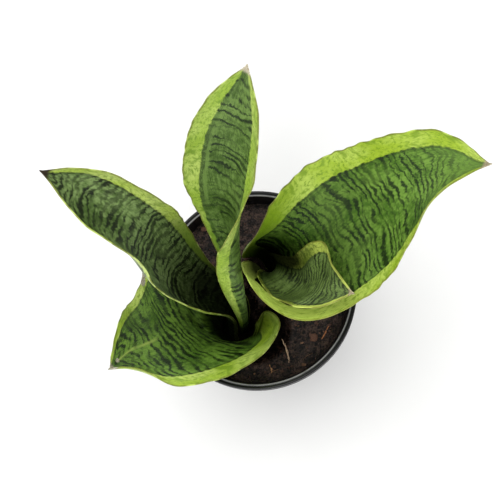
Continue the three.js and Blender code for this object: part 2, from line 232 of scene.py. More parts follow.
def build_leaf(name, look, seed):
    """Detailed leaf: two faces with a rounded, slightly wavy edge and a small dry point."""
    rng = random.Random(seed)
    t = 1 - (1 - np.linspace(0, 1, LEAF_ROWS)) ** 1.12
    sections = Sections(STATIONS[name], t)
    length = sections.length
    half = sections.half[:, None]
    even = np.sin(np.linspace(-1, 1, LEAF_COLUMNS) * math.pi / 2)
    even = 0.45 * even + 0.55 * np.linspace(-1, 1, LEAF_COLUMNS)
    side = np.repeat(even[None], LEAF_ROWS, 0)

    # The margins run a little unevenly, each in its own way.
    free = spread(0.3, 0.55, t) * (1 - spread(0.93, 1, t))
    for sign in (-1, 1):
        uneven = waves(rng, 4, 9, 34)(length) * look["uneven"] * free
        reach = np.clip(side * sign, 0, 1) ** 5
        side = side + sign * reach * uneven[:, None] / half

    points, normals, outward = sections.sheet(side)
    grain = even[None] * half.max()
    ripple = waves(rng, 3, 24, 47)
    dents = waves(rng, 3, 17, 41)
    lift = dents(length)[:, None] * dents(grain * 1.3 + 40) * 0.18
    lift = lift + ripple(length[:, None] + grain * 0.4) * np.abs(even) ** 4 * look["ripple"] * free[:, None]
    lift = lift * spread(0.02, 0.3, t)[:, None] * (1 - spread(0.94, 1, t))[:, None]
    points = points + normals * lift[..., None]

    thick = LEAF_THICKNESS / 2 * (1 - (1 - MARGIN_THICKNESS_SHARE) * np.abs(even) ** 3)
    thick = thick[None] * (1 - 0.35 * spread(0.9, 1, t))[:, None]
    rings = [points + normals * thick[..., None]]
    sides = [even]
    turns = [math.pi * (k + 1) / (EDGE_POINTS + 1) for k in range(EDGE_POINTS)]
    for column, sign in ((-1, 1), (0, -1)):
        edge, up, out = points[:, column], normals[:, column], outward[:, column] * sign
        rim = thick[:, column, None]
        rounded = [edge + rim * (out * math.sin(a) + up * math.cos(a)) for a in turns]
        if sign < 0:
            rounded.reverse()
        rings.append(np.stack(rounded, 1))
        sides.append(np.full(EDGE_POINTS, float(sign)))
        if sign > 0:
            under = points - normals * thick[..., None]
            rings.append(under[:, ::-1])
            sides.append(even[::-1])
    ring = np.concatenate(rings, 1)
    around = np.concatenate(sides)

    # A short dry point closes the tip.
    centre = ring[-1].mean(0)
    direction = sections.along[-1]
    extra = []
    for k in range(1, TIP_RINGS + 1):
        f = k / TIP_RINGS
        shrink = (1 - f) ** 0.6 * 0.92 + 0.03
        extra.append(centre + (ring[-1] - centre) * shrink + direction * look["point"] * f)
    ring = np.concatenate([ring, np.stack(extra)], 0)
    rows, count = ring.shape[:2]

    faces = []
    for row in range(rows - 1):
        a, b = row * count, (row + 1) * count
        for i in range(count):
            j = (i + 1) % count
            faces.append((a + j, a + i, b + i, b + j))
    faces.append(tuple(range(count)))
    faces.append(tuple(reversed(range((rows - 1) * count, rows * count))))

    # What the material reads: distances in millimetres along and across the leaf.
    stretch = lambda values: np.concatenate([values, np.full(TIP_RINGS, values[-1])])
    tip_steps = np.linspace(0, 1, TIP_RINGS + 1)[1:] * look["point"]
    v = np.concatenate([length, length[-1] + tip_steps])
    halves = stretch(sections.half)
    shape = np.ones((rows, count))
    along = v[:, None] * shape
    from_left = halves[:, None] * (1 + around[None])
    from_right = halves[:, None] * (1 - around[None])
    knots = np.linspace(0, 1, len(look["left"]))
    full_t = stretch(t)
    left = np.interp(full_t, knots, look["left"])[:, None]
    right = np.interp(full_t, knots, look["right"])[:, None]
    narrow = np.minimum(1, halves * 0.55 / np.maximum(left, right)[:, 0])[:, None]
    margin = np.maximum(left * narrow - from_left, right * narrow - from_right)
    edge = np.minimum(from_left, from_right)
    # Depth of shade: it grows towards the soil, and on the inner face inside the rolled sheaths.
    height = ring[..., 2] - SOIL_LEVEL
    ramp = np.linspace(1, 0, EDGE_POINTS)
    face = np.concatenate([np.ones(LEAF_COLUMNS), ramp, np.zeros(LEAF_COLUMNS), ramp[::-1]])[None]
    deep = face * (1 - spread(*look["inner_shade"], height))
    deep = np.maximum(deep, (1 - face) * (1 - spread(*look["outer_shade"], height)))
    # Painted shade spots: dark blobs where part of a leaf lies in deep shade among the others.
    for spot_t, spot_side, reach_t, reach_side in look["dark_spots"]:
        gap = np.hypot((full_t[:, None] - spot_t) / reach_t, (around[None] - spot_side) / reach_side)
        deep = np.maximum(deep, 1 - spread(0.4, 1, gap))
    tip = (length[-1] - v)[:, None] * shape
    grain_vector = np.stack([around[None] * half.max() * shape, along, full_t[:, None] * shape], -1)
    zone_vector = np.stack([margin, edge, deep], -1)
    spots = np.zeros((rows, count))
    for spot_t, spot_side, spot_size in look.get("dry", ()):
        near_along = (full_t[:, None] - spot_t) * length[-1]
        near_across = (around[None] - spot_side) * halves[:, None]
        gap = np.hypot(near_along, near_across) / spot_size
        spots = np.maximum(spots, 1 - spread(0.35, 1, gap))
    dry_vector = np.stack([tip, spots, scratch_depth(look, full_t, around, halves, length[-1])], -1)
    return mesh_object(name + "_detail", ring.reshape(-1, 3), faces, leaf_material(name, look), (
        ("leaf_grain", "FLOAT_VECTOR", grain_vector.reshape(-1, 3)),
        ("leaf_zone", "FLOAT_VECTOR", zone_vector.reshape(-1, 3)),
        ("leaf_dry", "FLOAT_VECTOR", dry_vector.reshape(-1, 3)),
    ))


def scratch_depth(look, t, side, halves, length):
    """How close each point is to a scratch, from 0 to 1; a scratch is a line in (t, side)."""
    result = np.zeros((len(t), len(side)))
    for (t0, s0), (t1, s1) in look.get("scratches", ()):
        f = np.clip((t[:, None] - t0) / (t1 - t0), 0, 1)
        across = (side[None] - (s0 + (s1 - s0) * f)) * halves[:, None]
        beyond = np.maximum(np.minimum(t0, t1) - t, t - np.maximum(t0, t1))[:, None] * length
        gap = np.hypot(across, np.maximum(beyond, 0))
        result = np.maximum(result, 1 - spread(0.2, 0.75, gap))
    return result


# ---- Materials ----
def rgb(r, g, b):
    """Linear colour from 0-255 sRGB values."""
    def linear(c):
        c /= 255
        return c / 12.92 if c <= 0.04045 else ((c + 0.055) / 1.055) ** 2.4
    return (linear(r), linear(g), linear(b), 1.0)


class Shader:
    """Small helper for writing node materials."""

    def __init__(self, name):
        self.material = bpy.data.materials.new(name)
        self.material.use_nodes = True
        self.tree = self.material.node_tree
        self.tree.nodes.clear()
        self.principled = self.tree.nodes.new("ShaderNodeBsdfPrincipled")
        output = self.tree.nodes.new("ShaderNodeOutputMaterial")
        self.tree.links.new(self.principled.outputs[0], output.inputs[0])

    def put(self, socket, value):
        if isinstance(value, bpy.types.NodeSocket):
            self.tree.links.new(value, socket)
        else:
            socket.default_value = value

    def set(self, **values):
        for key, value in values.items():
            self.put(self.principled.inputs[key.replace("_", " ")], value)

    def math(self, operation, a, b=0.0, c=0.0):
        node = self.tree.nodes.new("ShaderNodeMath")
        node.operation = operation
        for socket, value in zip(node.inputs, (a, b, c)):
            self.put(socket, value)
        return node.outputs[0]

    def add(self, a, b):
        return self.math("ADD", a, b)

    def times(self, a, b):
        return self.math("MULTIPLY", a, b)

    def step(self, value, low, high, to_low=0.0, to_high=1.0):
        node = self.tree.nodes.new("ShaderNodeMapRange")
        node.interpolation_type = "SMOOTHSTEP"
        for key, v in (("Value", value), ("From Min", low), ("From Max", high),
                       ("To Min", to_low), ("To Max", to_high)):
            self.put(node.inputs[key], v)
        return node.outputs[0]

    def vector(self, x, y, z=0.0):
        node = self.tree.nodes.new("ShaderNodeCombineXYZ")
        for socket, value in zip(node.inputs, (x, y, z)):
            self.put(socket, value)
        return node.outputs[0]

    def attribute(self, name):
        node = self.tree.nodes.new("ShaderNodeAttribute")
        node.attribute_name = name
        return node

    def split(self, name):
        node = self.tree.nodes.new("ShaderNodeSeparateXYZ")
        self.put(node.inputs[0], self.attribute(name).outputs["Vector"])
        return node.outputs

    def position(self, scale):
        """Object coordinates in millimetres times a scale."""
        node = self.tree.nodes.new("ShaderNodeTexCoord")
        mapping = self.tree.nodes.new("ShaderNodeMapping")
        mapping.inputs["Scale"].default_value = [scale / MM] * 3
        self.put(mapping.inputs["Vector"], node.outputs["Object"])
        return mapping.outputs[0]

    def noise(self, vector, scale=1.0, detail=2.0, roughness=0.5):
        node = self.tree.nodes.new("ShaderNodeTexNoise")
        self.put(node.inputs["Vector"], vector)
        node.inputs["Scale"].default_value = scale
        node.inputs["Detail"].default_value = detail
        node.inputs["Roughness"].default_value = roughness
        return node.outputs["Fac"]

    def cells(self, vector, scale=1.0):
        node = self.tree.nodes.new("ShaderNodeTexVoronoi")
        self.put(node.inputs["Vector"], vector)
        node.inputs["Scale"].default_value = scale
        return node.outputs["Distance"]

    def mix(self, factor, a, b):
        node = self.tree.nodes.new("ShaderNodeMix")
        node.data_type = "RGBA"
        self.put(node.inputs[0], factor)
        self.put(node.inputs[6], a)
        self.put(node.inputs[7], b)
        return node.outputs[2]

    def bump(self, height, distance, strength=1.0):
        node = self.tree.nodes.new("ShaderNodeBump")
        self.put(node.inputs["Height"], height)
        node.inputs["Distance"].default_value = distance
        node.inputs["Strength"].default_value = strength
        self.put(self.principled.inputs["Normal"], node.outputs[0])


def leaf_material(name, look):
    """Irregular dark bands on a green centre, pale margins, a thin edge line and a dry tip, with painted shade low down
    and painted light on some margins.
    """
    s = Shader(name + "_skin")
    seed = look["seed"]
    across, along, t = s.split("leaf_grain")
    margin, edge, deep = s.split("leaf_zone")
    tip, dry, scratch = s.split("leaf_dry")

    # Fine fibres run along the leaf, so they change quickly across it.
    fibres = s.noise(s.vector(s.times(across, 1.5), s.times(along, 0.14), seed), detail=4, roughness=0.65)
    fine = s.noise(s.vector(s.times(across, 3.2), s.times(along, 0.45), seed + 5), detail=2)
    wander = s.noise(s.vector(s.times(across, 0.05), s.times(along, 0.045), seed + 9), detail=1)
    zigzag = s.noise(s.vector(s.times(across, 0.3), s.times(along, 0.13), seed + 14), detail=3)
    shift = s.add(s.times(s.add(fibres, -0.5), look["feather"]), s.times(s.add(wander, -0.5), look["wander"]))
    shift = s.add(shift, s.times(s.add(zigzag, -0.5), look["zigzag"]))
    place = s.add(along, shift)

    # Bands: an uneven wave along the leaf whose strength comes and goes.
    wave = s.math("SINE", s.times(place, 2 * math.pi / look["spacing"]))
    bars = s.noise(s.vector(s.times(across, 0.04), s.times(place, 1.2 / look["spacing"]), seed + 17), detail=2)
    strength = s.noise(s.vector(s.times(across, 0.11), s.times(place, 0.07), seed + 21), detail=3, roughness=0.6)
    swing = s.add(s.times(wave, 0.75), s.times(s.add(bars, -0.5), look["bars"]))
    swing = s.add(swing, s.times(s.add(strength, -0.5), look["swing"]))
    bands = s.step(swing, look["threshold"], look["threshold"] + 0.42)
    lines = s.noise(s.vector(s.times(across, 0.12), s.times(place, 0.7), seed + 33), detail=2)
    lines = s.step(lines, 0.56, 0.64)
    dark = s.math("MAXIMUM", bands, s.times(lines, look["lines"]))
    dark = s.times(dark, s.step(fine, 0.3, 0.5, 0.7, 1.0))
    patches = s.noise(s.vector(s.times(across, 0.06), s.times(along, 0.05), seed + 28), detail=2)
    dark = s.times(dark, s.step(patches, 0.36, 0.54, 0.55, 1.0))

    mottle = s.noise(s.vector(s.times(across, 0.3), s.times(along, 0.26), seed + 40), detail=5, roughness=0.68)
    streaks = s.noise(s.vector(s.times(across, 1.2), s.times(along, 0.03), seed + 46), detail=2)
    cloud = s.noise(s.vector(s.times(across, 0.045), s.times(along, 0.04), seed + 49), detail=1)
    tone = s.add(s.times(mottle, 0.5), s.add(s.times(streaks, 0.2), s.times(cloud, 0.3)))
    centre = s.mix(s.step(tone, 0.4, 0.6), look["mid"], look["light"])
    centre = s.mix(s.times(s.step(fibres, 0.52, 0.7), 0.3), centre, look["dark"])
    centre = s.mix(dark, centre, look["dark"])

    # Painted light: the centre lightens towards the tip, where the light falls more strongly.
    centre = s.mix(s.step(t, look["pale_tip"][0], look["pale_tip"][1], 0.0, 0.5), centre, look["light"])

    # The pale margins carry blotches, weak cross stripes and a few long streaks.
    left_side = s.step(across, 1.0, -1.0)
    right_side = s.add(1.0, s.times(left_side, -1.0))
    # Painted shade: low on one side, where the margin lies in shade, it darkens towards margin_dark.
    low_left = s.times(left_side, s.step(t, look["olive"][0], look["olive"][1], 1.0, 0.0))
    low_right = s.times(right_side, s.step(t, look["olive"][2], look["olive"][3], 1.0, 0.0))
    blotch = s.noise(s.vector(s.times(across, 0.42), s.times(place, 0.5), seed + 52), detail=5, roughness=0.75)
    stripes = s.noise(s.vector(s.times(across, 0.08), s.times(place, 0.17), seed + 57), detail=2)
    stray = s.noise(s.vector(s.times(across, 0.7), s.times(along, 0.018), seed + 60), detail=1)
    faint = s.times(s.step(blotch, 0.47, 0.62), look["faint"])
    faint = s.math("MAXIMUM", faint, s.times(s.step(stripes, 0.56, 0.68), look["faint"] * 0.85))
    faint = s.math("MAXIMUM", faint, s.times(s.step(stray, 0.64, 0.72), 0.5))
    band = s.mix(s.step(s.add(cloud, s.times(mottle, 0.4)), 0.56, 0.86, 0.0, 0.8), look["margin"], look["margin_pale"])
    band = s.mix(faint, band, look["margin_dark"])
    band = s.mix(s.times(s.add(low_left, low_right), 0.85), band, look["margin_dark"])
    # Painted light: over a stretch of the leaf, the right margin lies in shadow and is painted paler.
    fresh = s.times(right_side, s.step(t, look["fresh"][0], look["fresh"][1], 0.9, 0.0))
    band = s.mix(s.times(fresh, s.add(1.0, s.times(faint, -0.85))), band, look["margin_pale"])
    band = s.mix(s.step(t, look["glow"][0], look["glow"][1], 0.0, 0.8), band, look["margin_pale"])

    # The border between centre and margin is ragged along the fibres.
    ragged = s.add(margin, s.times(s.add(fibres, -0.5), 1.8))
    ragged = s.add(ragged, s.times(s.add(zigzag, -0.5), 1.6))
    ragged = s.add(ragged, s.times(dark, -0.4))
    inside = s.step(ragged, -0.4, 0.5)
    # Beside the left margin of some leaves runs a dark stripe and then a pale one.
    stretch = s.times(s.step(t, 0.5, 0.58), s.step(t, 0.7, 0.84, 1.0, 0.0))
    stretch = s.times(s.times(stretch, left_side), look["stripe"])
    centre = s.mix(s.times(s.step(ragged, -4.6, -3.6), stretch), centre, look["light"])
    broken = s.times(s.step(blotch, 0.36, 0.52), s.step(ragged, -2.6, -1.8))
    centre = s.mix(s.times(broken, stretch), centre, look["dark"])
    centre = s.mix(s.times(s.step(ragged, -1.5, -0.8), look["border"]), centre, look["dark"])
    colour = s.mix(inside, centre, band)

    # A thin olive line runs along the very edge, with paler, drier stretches.
    rim_wear = s.noise(s.vector(s.times(across, 0.2), s.times(along, 0.12), seed + 71), detail=3)
    rim_line = s.step(s.add(edge, s.times(rim_wear, 0.6)), 0.45, 0.8, 1.0, 0.0)
    rim_tone = s.mix(s.step(rim_wear, 0.5, 0.66), look["rim"], look["margin_pale"])
    colour = s.mix(s.times(rim_line, 0.7), colour, rim_tone)
    colour = s.mix(s.times(scratch, s.step(fine, 0.25, 0.5, 0.6, 0.9)), colour, rgb(158, 178, 84))
    dry_noise = s.times(s.add(mottle, -0.5), 6.0)
    dried = s.step(s.add(tip, dry_noise), look["dry_reach"] * 0.4, look["dry_reach"], 1.0, 0.0)
    dried = s.math("MAXIMUM", dried, s.step(s.add(dry, s.times(s.add(fibres, -0.5), 0.9)), 0.35, 0.6))
    colour = s.mix(dried, colour, s.mix(s.step(fine, 0.35, 0.65), look["dry_dark"], look["dry_pale"]))
    # Low on the leaf, and inside the sheaths, the colours sink into the shade.
    lit = s.times(s.times(inside, s.step(t, 0.2, 0.36)), look["lit_edge"])
    deep = s.times(deep, s.add(1.0, s.times(lit, -1.0)))
    uneven_deep = s.add(deep, s.times(s.add(cloud, -0.5), s.times(s.step(deep, 0.0, 0.3), 0.25)))
    colour = s.mix(s.math("MINIMUM", s.math("MAXIMUM", uneven_deep, 0.0), 0.97), colour, look["foot"])
    # Painted light: the thin, upturned margin glows by emission, standing in for light shining through it.
    through = s.times(s.times(fresh, inside), look["through"])
    s.set(Base_Color=colour, Emission_Color=colour, Emission_Strength=through)

    gloss = s.add(s.times(mottle, 0.2), s.times(streaks, 0.1))
    gloss = s.add(gloss, s.times(dark, -0.03))
    gloss = s.add(gloss, s.times(dried, 0.25))
    s.set(Roughness=s.add(gloss, s.add(s.times(deep, 0.4), 0.27)), IOR=1.42)
    s.set(Specular_IOR_Level=s.step(deep, 0.0, 0.8, 0.42, 0.0))
    relief = s.add(s.times(fibres, 0.6), s.times(fine, 0.35))
    relief = s.add(relief, s.times(blotch, 0.9))
    relief = s.add(relief, s.times(dark, -0.12))
    pits = s.noise(s.vector(s.times(across, 3.2), s.times(along, 2.4), seed + 80), detail=1)
    s.bump(s.add(relief, s.times(pits, 0.3)), 0.00036, 0.85)
    return s.material


def look(seed, light, mid, dark, margin, margin_dark, margin_pale, left, right, **other):
    """Colours are 0-255 sRGB; left and right are margin widths in millimetres from foot to tip."""
    # foot is the near-black colour of the painted shade low on the leaves and inside the sheaths; through sets a
    # painted glow by emission.
    base = dict(seed=seed, left=left, right=right, spacing=4.4, feather=4.6, wander=15.0, zigzag=4.2,
                swing=2.6, bars=3.8, threshold=0.14, lines=0.8, faint=0.85, stripe=0.0, foot=rgb(7, 9, 5),
                inner_shade=(0, 45), outer_shade=(0, 30), dark_spots=(), olive=(-1, 0, -1, 0), glow=(2, 3), lit_edge=0.0, border=0.45, fresh=(-1, 0), through=0.0, pale_tip=(2, 3),
                uneven=0.5, ripple=0.35, point=2.2, dry_reach=2.4, rim=rgb(104, 104, 34),
                dry_dark=rgb(92, 72, 44), dry_pale=rgb(206, 196, 160))
    base.update(light=rgb(*light), mid=rgb(*mid), dark=rgb(*dark), margin=rgb(*margin),
                margin_dark=rgb(*margin_dark), margin_pale=rgb(*margin_pale))
    base.update(other)
    return base


LOOKS = {
    "leaf_broad_right": look(
        11, (118, 156, 60), (66, 104, 22), (20, 40, 6), (160, 188, 46), (106, 142, 16), (194, 216, 100),
        [5, 8, 12, 13, 12.5, 10, 2], [6, 10, 14, 12.5, 8, 5, 2],
        uneven=0.7, ripple=0.6, dry_reach=4.5, inner_shade=(34, 116), olive=(0.4, 0.62, -1, 0), lit_edge=0.75, fresh=(0.47, 0.64), through=0.4, pale_tip=(0.8, 0.97)),
    # Painted shade: this leaf lies in shade inside the broad leaf, so its margins are coloured a dark olive; glow
    # paints them paler towards the tip.
    "leaf_young_right": look(
        23, (112, 136, 70), (76, 98, 42), (28, 40, 14), (104, 124, 34), (64, 84, 18), (196, 212, 96),
        [4, 6, 8, 9, 6, 2.2, 1.5], [2, 2, 2, 2.2, 2.2, 2, 1],
        spacing=2.8, feather=3.0, wander=9.0, zigzag=3.0, lines=0.8, uneven=0.2, ripple=0.1,
        dark_spots=[(0.26, -0.9, 0.42, 1.2)], glow=(0.66, 0.78)),
    "leaf_tall_centre": look(
        37, (112, 142, 68), (60, 88, 26), (20, 38, 8), (158, 188, 66), (104, 140, 34), (194, 214, 112),
        [2, 2, 2, 2.8, 10, 10, 2.5], [3, 5, 6, 7.2, 9.5, 8, 2],
        spacing=5.6, bars=5.0, threshold=0.42, lines=0.5, border=0.0, olive=(0.4, 0.56, -1, 0), stripe=0.7, uneven=0.35, dry_reach=5.0,
        inner_shade=(0, 60), outer_shade=(6, 70), dry_dark=rgb(150, 132, 96), dry_pale=rgb(232, 226, 204)),
    "leaf_long_left": look(
        53, (140, 166, 100), (74, 100, 42), (10, 20, 4), (188, 212, 88), (106, 136, 42), (198, 214, 126),
        [2, 2, 2.2, 2.4, 2.2, 2, 1.4], [1, 1.5, 2.5, 6.2, 8.6, 7, 2],
        spacing=5.2, swing=2.8, bars=4.4, zigzag=6.5, threshold=-0.04, olive=(-1, 0, 0.44, 0.6), uneven=0.35, dry_reach=6.0,
        inner_shade=(24, 112), outer_shade=(10, 58), dry_dark=rgb(30, 22, 16), dry_pale=rgb(64, 50, 34)),
    "leaf_short_front": look(
        71, (114, 152, 54), (64, 98, 24), (15, 32, 5), (166, 196, 56), (108, 144, 26), (202, 222, 116),
        [9, 13, 15.5, 15.5, 13, 8, 2], [3, 3.5, 5, 6.5, 5.5, 3.5, 1.2],
        spacing=5.2, zigzag=3.4, threshold=0.06, uneven=0.5, ripple=0.6, dry_reach=4.0, inner_shade=(0, 24),
        dark_spots=[(0.05, 0.3, 0.3, 3.0)], dry_dark=rgb(110, 84, 50), dry_pale=rgb(204, 204, 184),
        dry=[(0.52, 1.0, 7.0), (0.93, 0.34, 2.0)], scratches=[((0.56, 0.22), (0.93, 0.3))]),
}

leaves = []
for number, (name, leaf_look) in enumerate(LOOKS.items()):
    leaf = build_leaf(name, leaf_look, 100 + number)
    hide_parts(name)
    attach(leaf, "root")
    leaves.append(leaf)


# ---- Pot ----
ROUND = 192


def plastic_material(name):
    """Moulded black plastic: fine orange-peel, faint scuffs and pale dust in scattered patches."""
    s = Shader(name)
    peel = s.noise(s.position(0.9), detail=3, roughness=0.6)
    cloud = s.noise(s.position(0.05), detail=4, roughness=0.6)
    specks = s.noise(s.position(0.45), detail=5, roughness=0.75)
    node = s.tree.nodes.new("ShaderNodeTexCoord")
    split = s.tree.nodes.new("ShaderNodeSeparateXYZ")
    s.put(split.inputs[0], node.outputs["Object"])
    x, y, z = split.outputs
    angle = s.math("ARCTAN2", y, x)
    scuffs = s.noise(s.vector(s.times(angle, 3.0), s.times(z, 900.0)), detail=3, roughness=0.7)
    dust = s.times(s.step(specks, 0.6, 0.74), s.step(cloud, 0.4, 0.65))
    colour = s.mix(cloud, rgb(10, 10, 11), rgb(21, 21, 23))
    colour = s.mix(s.times(s.step(scuffs, 0.62, 0.75), 0.35), colour, rgb(74, 74, 76))
    colour = s.mix(s.times(dust, 0.5), colour, rgb(96, 84, 72))
    # Painted highlight: a thin pale line along the inner lip, broken up by the scuffs.
    radius = s.math("POWER", s.add(s.times(x, x), s.times(y, y)), 0.5)
    lip_edge = (RIM_MM - RIM_WIDTH) * MM
    lip = s.times(
        s.step(radius, lip_edge + 0.0012, lip_edge + 0.0006, 0.0, 1.0),
        s.step(z, RIM_HEIGHT - 0.0008, RIM_HEIGHT - 0.0003),
    )
    colour = s.mix(s.times(lip, s.step(scuffs, 0.3, 0.5, 0.35, 0.75)), colour, rgb(148, 148, 146))
    s.set(Base_Color=colour, IOR=1.49, Specular_IOR_Level=0.28)
    rough = s.add(s.times(cloud, 0.2), s.times(scuffs, 0.12))
    s.set(Roughness=s.add(rough, s.add(s.times(dust, 0.3), 0.14)))
    s.bump(s.add(peel, s.times(scuffs, 0.5)), 0.00012, 0.6)
    return s.material


def arc(centre, radius, start, end, steps=5):
    """Points of a circular arc in (radius, height), angles in degrees."""
    cr, cz = centre
    out = []
    for k in range(steps + 1):
        a = math.radians(start + (end - start) * k / steps)
        out.append((cr + radius * math.cos(a), cz + radius * math.sin(a)))
    return out


def pot_profile():
    """Closed outline of the pot's wall in (radius, height), from the axis round and back to it."""
    rim_in = RIM_MM - RIM_WIDTH
    skirt_in = RIM_MM - SKIRT_WALL
    foot = HEIGHT_MM - SKIRT_DROP
    under = HEIGHT_MM - RIM_THICKNESS
    wall = pot_outer_radius
    line = [(0.0, 1.0), (14.0, 1.0), (15.0, 0.4)]
    line += [(DRAIN_RING_RADIUS + DRAIN_RADIUS + 2.5, 0.4), (DRAIN_RING_RADIUS + DRAIN_RADIUS + 3.2, 0.0)]
    line += arc((POT_BASE_RADIUS - 1.2, 1.2), 1.2, -90, -8, 4)
    for z in np.linspace(3, under - 2, 26):
        line.append((wall(z), z))
    line += arc((wall(under) + 1.0, under - 1.0), 1.0, 180, 90, 3)[1:]
    line += [(skirt_in - 0.3, under), (skirt_in, under - 0.4), (skirt_in + 0.1, foot + 0.6)]
    line += arc((RIM_MM - 0.65, foot + 0.55), 0.55, 180, 360, 6)
    line += [(RIM_MM - 0.05, foot + 1.2), (RIM_MM - 0.35, foot + 1.6), (RIM_MM - 0.3, HEIGHT_MM - 3.2)]
    line += [(RIM_MM, HEIGHT_MM - 2.7)]
    line += arc((RIM_MM - 0.8, HEIGHT_MM - 0.8), 0.8, 0, 90, 5)
    line += [(RIM_MM - 1.3, HEIGHT_MM), (RIM_MM - 1.6, HEIGHT_MM - 0.25), (rim_in + 1.3, HEIGHT_MM - 0.3)]
    line += [(rim_in + 1.0, HEIGHT_MM - 0.08)]
    line += arc((rim_in + 0.55, HEIGHT_MM - 0.55), 0.5, 80, 180, 5)
    for z in np.linspace(HEIGHT_MM - 3, POT_FLOOR + 2, 24):
        line.append((wall(z) - POT_WALL, z))
    line += arc((wall(POT_FLOOR) - POT_WALL - 1.5, POT_FLOOR + 1.5), 1.5, 0, -90, 4)
    line += [(0.0, POT_FLOOR)]
    return line


def build_pot():
    profile = pot_profile()
    vertices, faces = [], []
    rows = []
    for radius, z in profile:
        if radius == 0:
            rows.append([len(vertices)])
            vertices.append((0, 0, z))
            continue
        rows.append(list(range(len(vertices), len(vertices) + ROUND)))
        for k in range(ROUND):
            a = 2 * math.pi * k / ROUND
            vertices.append((radius * math.cos(a), radius * math.sin(a), z))
    for lower, higher in zip(rows, rows[1:]):
        for k in range(ROUND):
            j = (k + 1) % ROUND
            if len(lower) == 1:
                faces.append((lower[0], higher[j], higher[k]))
            elif len(higher) == 1:
                faces.append((lower[k], lower[j], higher[0]))
            else:
                faces.append((lower[k], lower[j], higher[j], higher[k]))
    pot = mesh_object("pot_detail", vertices, faces, plastic_material("pot_plastic"))
    cutter = bmesh.new()
    for i in range(DRAIN_HOLES):
        a = 2 * math.pi * (i + 0.5) / DRAIN_HOLES
        place = Vector((math.cos(a), math.sin(a), 0)) * DRAIN_RING_RADIUS * MM
        bmesh.ops.create_cone(
            cutter, cap_ends=True, segments=40, radius1=DRAIN_RADIUS * MM, radius2=DRAIN_RADIUS * MM,
            depth=0.02, matrix=Matrix.Translation(place),
        )
    holes = bpy.data.meshes.new("holes")
    cutter.to_mesh(holes)
    cutter.free()
    holes_object = bpy.data.objects.new("holes", holes)
    bpy.context.scene.collection.objects.link(holes_object)
    cut = pot.modifiers.new("drain", "BOOLEAN")
    cut.operation = "DIFFERENCE"
    cut.object = holes_object
    cut.solver = "EXACT"
    apply_modifiers(pot)
    bpy.data.objects.remove(holes_object)
    sharpen(pot, 40)
    return pot


def apply_modifiers(piece):
    bpy.context.view_layer.update()
    graph = bpy.context.evaluated_depsgraph_get()
    made = bpy.data.meshes.new_from_object(piece.evaluated_get(graph))
    piece.modifiers.clear()
    piece.data = made


def sharpen(piece, degrees):
    """Marks the edges that turn by more than an angle as sharp, so flats shade flat."""
    work = bmesh.new()
    work.from_mesh(piece.data)
    for edge in work.edges:
        edge.smooth = len(edge.link_faces) != 2 or edge.calc_face_angle() < math.radians(degrees)
    work.to_mesh(piece.data)
    work.free()


pot = build_pot()
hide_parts("pot")
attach(pot, "root")


# ---- Soil ----
def soil_top(x, y):
    """Height of the packed soil's surface, as in part.mjs."""
    broad = np.sin(x * 0.31 + 1.1) * np.cos(y * 0.27 - 0.6)
    ripple = np.sin(x * 0.83 + y * 0.61) * np.cos(y * 0.74 - x * 0.36 + 2)
    mound = 1 - (x * x + y * y) / (RIM_MM * RIM_MM)
    return SOIL_LEVEL + SOIL_BUMP * (0.7 * broad + 0.4 * ripple + mound - 1)


def sheath(name, t):
    """Centre and radius, in millimetres, of the round that a leaf's cross-section bends about."""
    s = Sections(STATIONS[name], np.array([t, 1.0]))
    radius = s.half[0] / s.bend[0]
    return s.middle[0] + s.upper[0] * radius, radius


SHEATHS = [sheath("leaf_broad_right", 0.05), sheath("leaf_short_front", 0.1)]


def soil_height(x, y):
    """Soil surface with clods, sunk where a rolled leaf encloses it."""
    z = float(soil_top(x, y))
    p = Vector((x, y, 3.7))
    z += 0.9 * noise.noise(p * 0.16)
    z += 1.0 * abs(noise.noise(p * 0.34 + Vector((9, 2, 0))))
    z += 0.65 * noise.noise(p * 0.8) + 0.4 * noise.noise(p * 1.9)
    for centre, radius in SHEATHS:
        gap = math.hypot(x - centre[0], y - centre[1])
        z -= 9 * float(1 - spread(radius * 0.6, radius * 0.95, gap))
    edge = math.hypot(x, y) / SOIL_RADIUS
    return z - 1.2 * float(spread(0.93, 1.0, edge))


def soil_material():
    """Dark, crumbly peat: black to red-brown grains, tan specks, damp patches, and painted shade beside the leaves and
    inside the rolled ones.
    """
    s = Shader("soil_peat")
    tint, shade, _ = s.split("soil_look")
    grains = s.noise(s.position(0.9), detail=6, roughness=0.75)
    clods = s.noise(s.position(0.16), detail=4, roughness=0.65)
    specks = s.cells(s.position(0.7))
    mixed = s.add(s.times(grains, 0.55), s.times(clods, 0.45))
    colour = s.mix(s.step(mixed, 0.42, 0.62), rgb(11, 9, 8), rgb(88, 70, 62))
    colour = s.mix(s.step(tint, 0.5, 0.75), colour, rgb(78, 54, 44))
    colour = s.mix(s.step(tint, 0.9, 0.99), colour, rgb(132, 98, 74))
    colour = s.mix(s.times(s.step(specks, 0.1, 0.02), s.step(clods, 0.5, 0.7)), colour, rgb(120, 88, 66))
    colour = s.mix(s.step(tint, 0.28, 0.05), colour, rgb(14, 11, 10))
    colour = s.mix(s.times(shade, 0.95), colour, rgb(5, 4, 4))
    s.set(Base_Color=colour, Specular_IOR_Level=s.step(shade, 0.0, 0.6, 0.4, 0.0))
    s.set(Roughness=s.step(clods, 0.3, 0.7, 0.62, 0.95))
    s.bump(s.add(grains, s.times(specks, -0.6)), 0.0011, 0.9)
    return s.material


